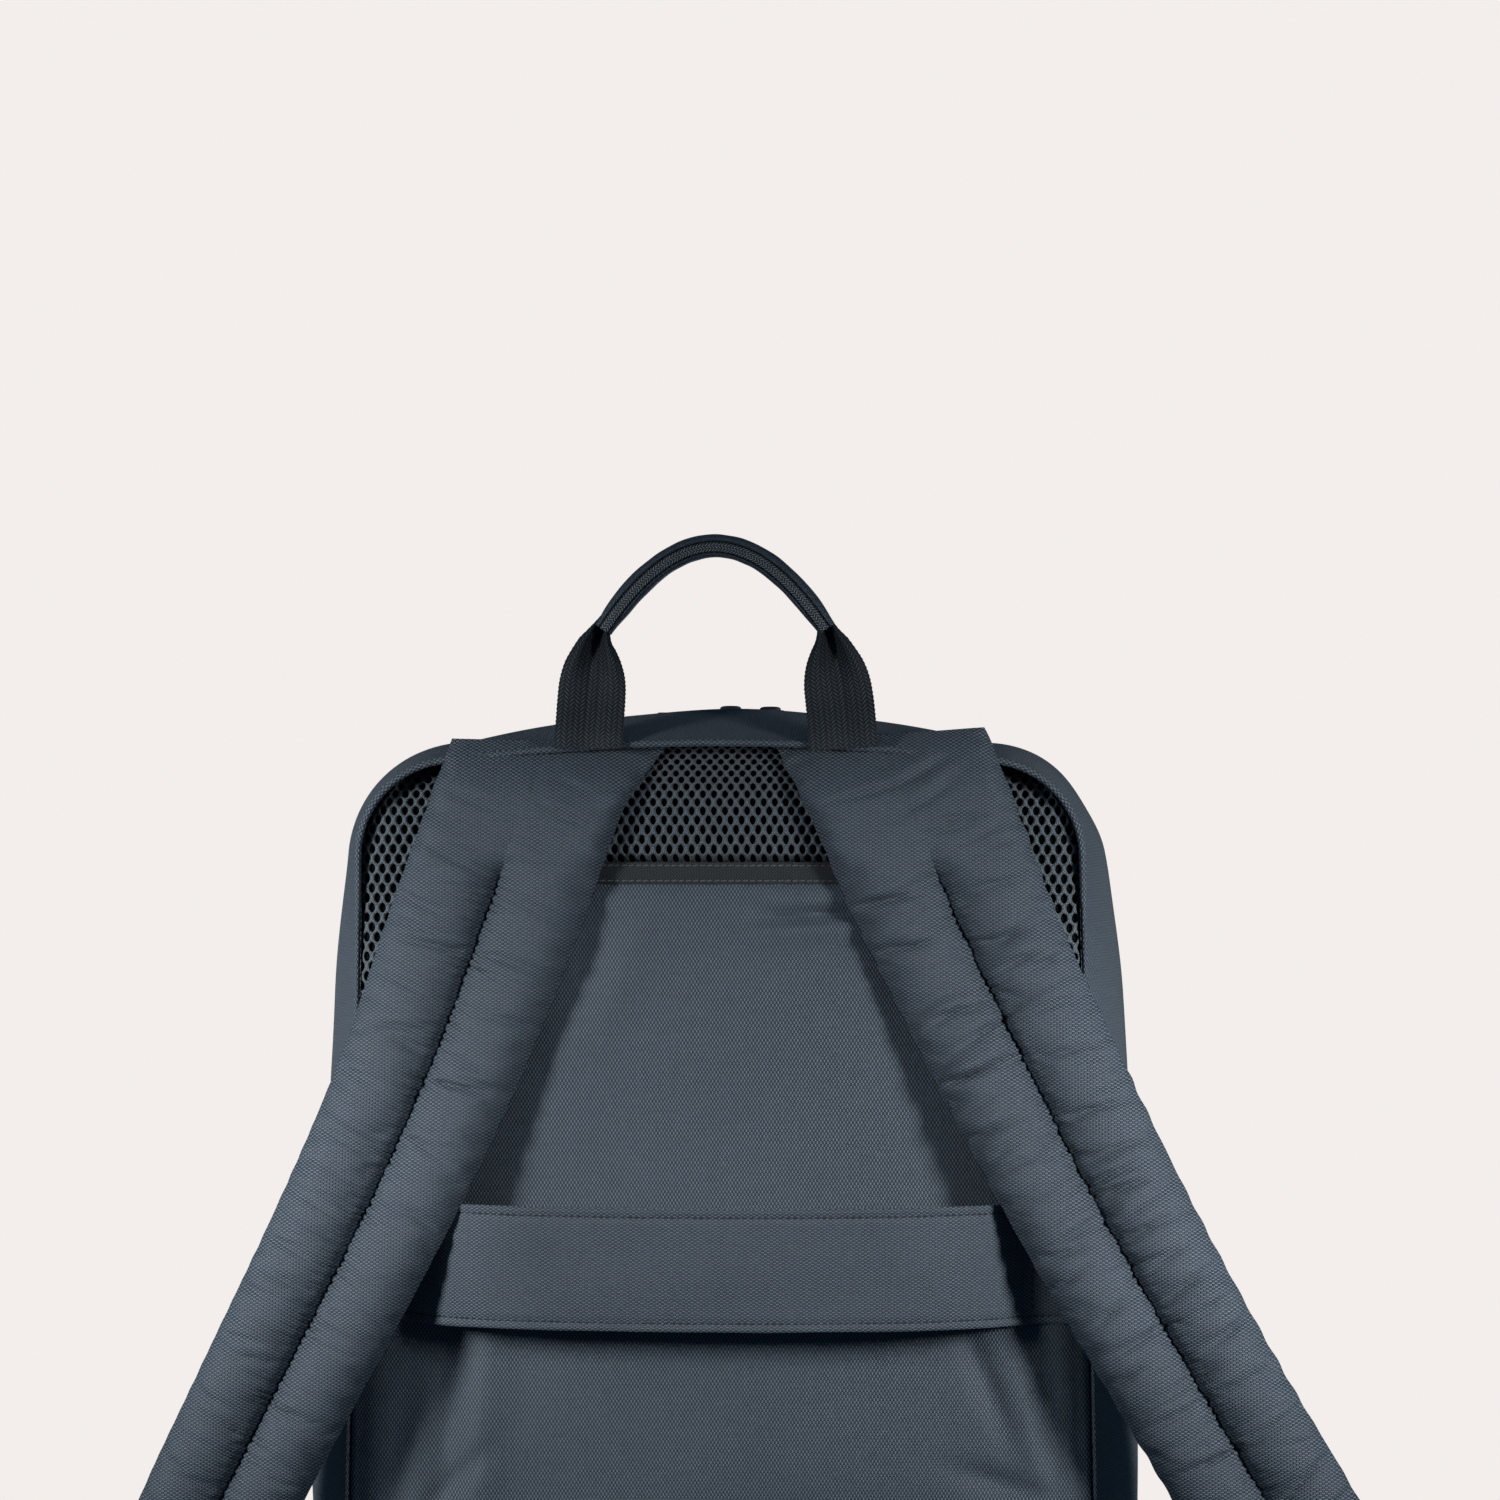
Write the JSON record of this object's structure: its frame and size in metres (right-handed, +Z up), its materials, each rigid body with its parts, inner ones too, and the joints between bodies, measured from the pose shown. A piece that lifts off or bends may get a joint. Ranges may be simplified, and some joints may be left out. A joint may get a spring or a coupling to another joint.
{
  "type": "laptop backpack",
  "caption": "Soft laptop backpack with padded shoulder straps, a mesh back yoke, a haul handle, a zip over the top and a luggage band across the back.",
  "frame": {"origin": "middle of the base panel's underside, where the bag rests", "axes": "+Z up, +X to the right when the wearer's side is looked at, -Y towards the wearer, +Y towards the front of the bag"},
  "size_m": [0.497, 0.189, 0.5068],
  "materials": {
    "nylon_shell": "dark slate-navy plain-weave nylon, slightly lustrous",
    "air_mesh": "charcoal knitted spacer mesh with oval holes",
    "strapping": "charcoal herringbone webbing",
    "binding_tape": "charcoal ribbed binding tape",
    "zip_tape": "dark zip tape with a nylon coil",
    "moulded_plastic": "dark moulded acetal, fine satin"
  },
  "bodies": {
    "root": {"gusset": "nylon_shell", "front_panel": "nylon_shell", "base_panel": "nylon_shell", "back_panel": "nylon_shell", "mesh_yoke": "air_mesh", "yoke_tape": "binding_tape", "luggage_band": "nylon_shell", "main_zip": "zip_tape", "zip_slider_left": "moulded_plastic", "zip_slider_right": "moulded_plastic", "shoulder_strap_left": "nylon_shell", "shoulder_strap_right": "nylon_shell", "ladder_lock_left": "moulded_plastic", "ladder_lock_right": "moulded_plastic", "strap_webbing_left": "strapping", "strap_webbing_right": "strapping", "strap_tab_left": "nylon_shell", "strap_tab_right": "nylon_shell", "handle_webbing": "strapping", "handle_grip": "nylon_shell"}
  },
  "joints": []
}
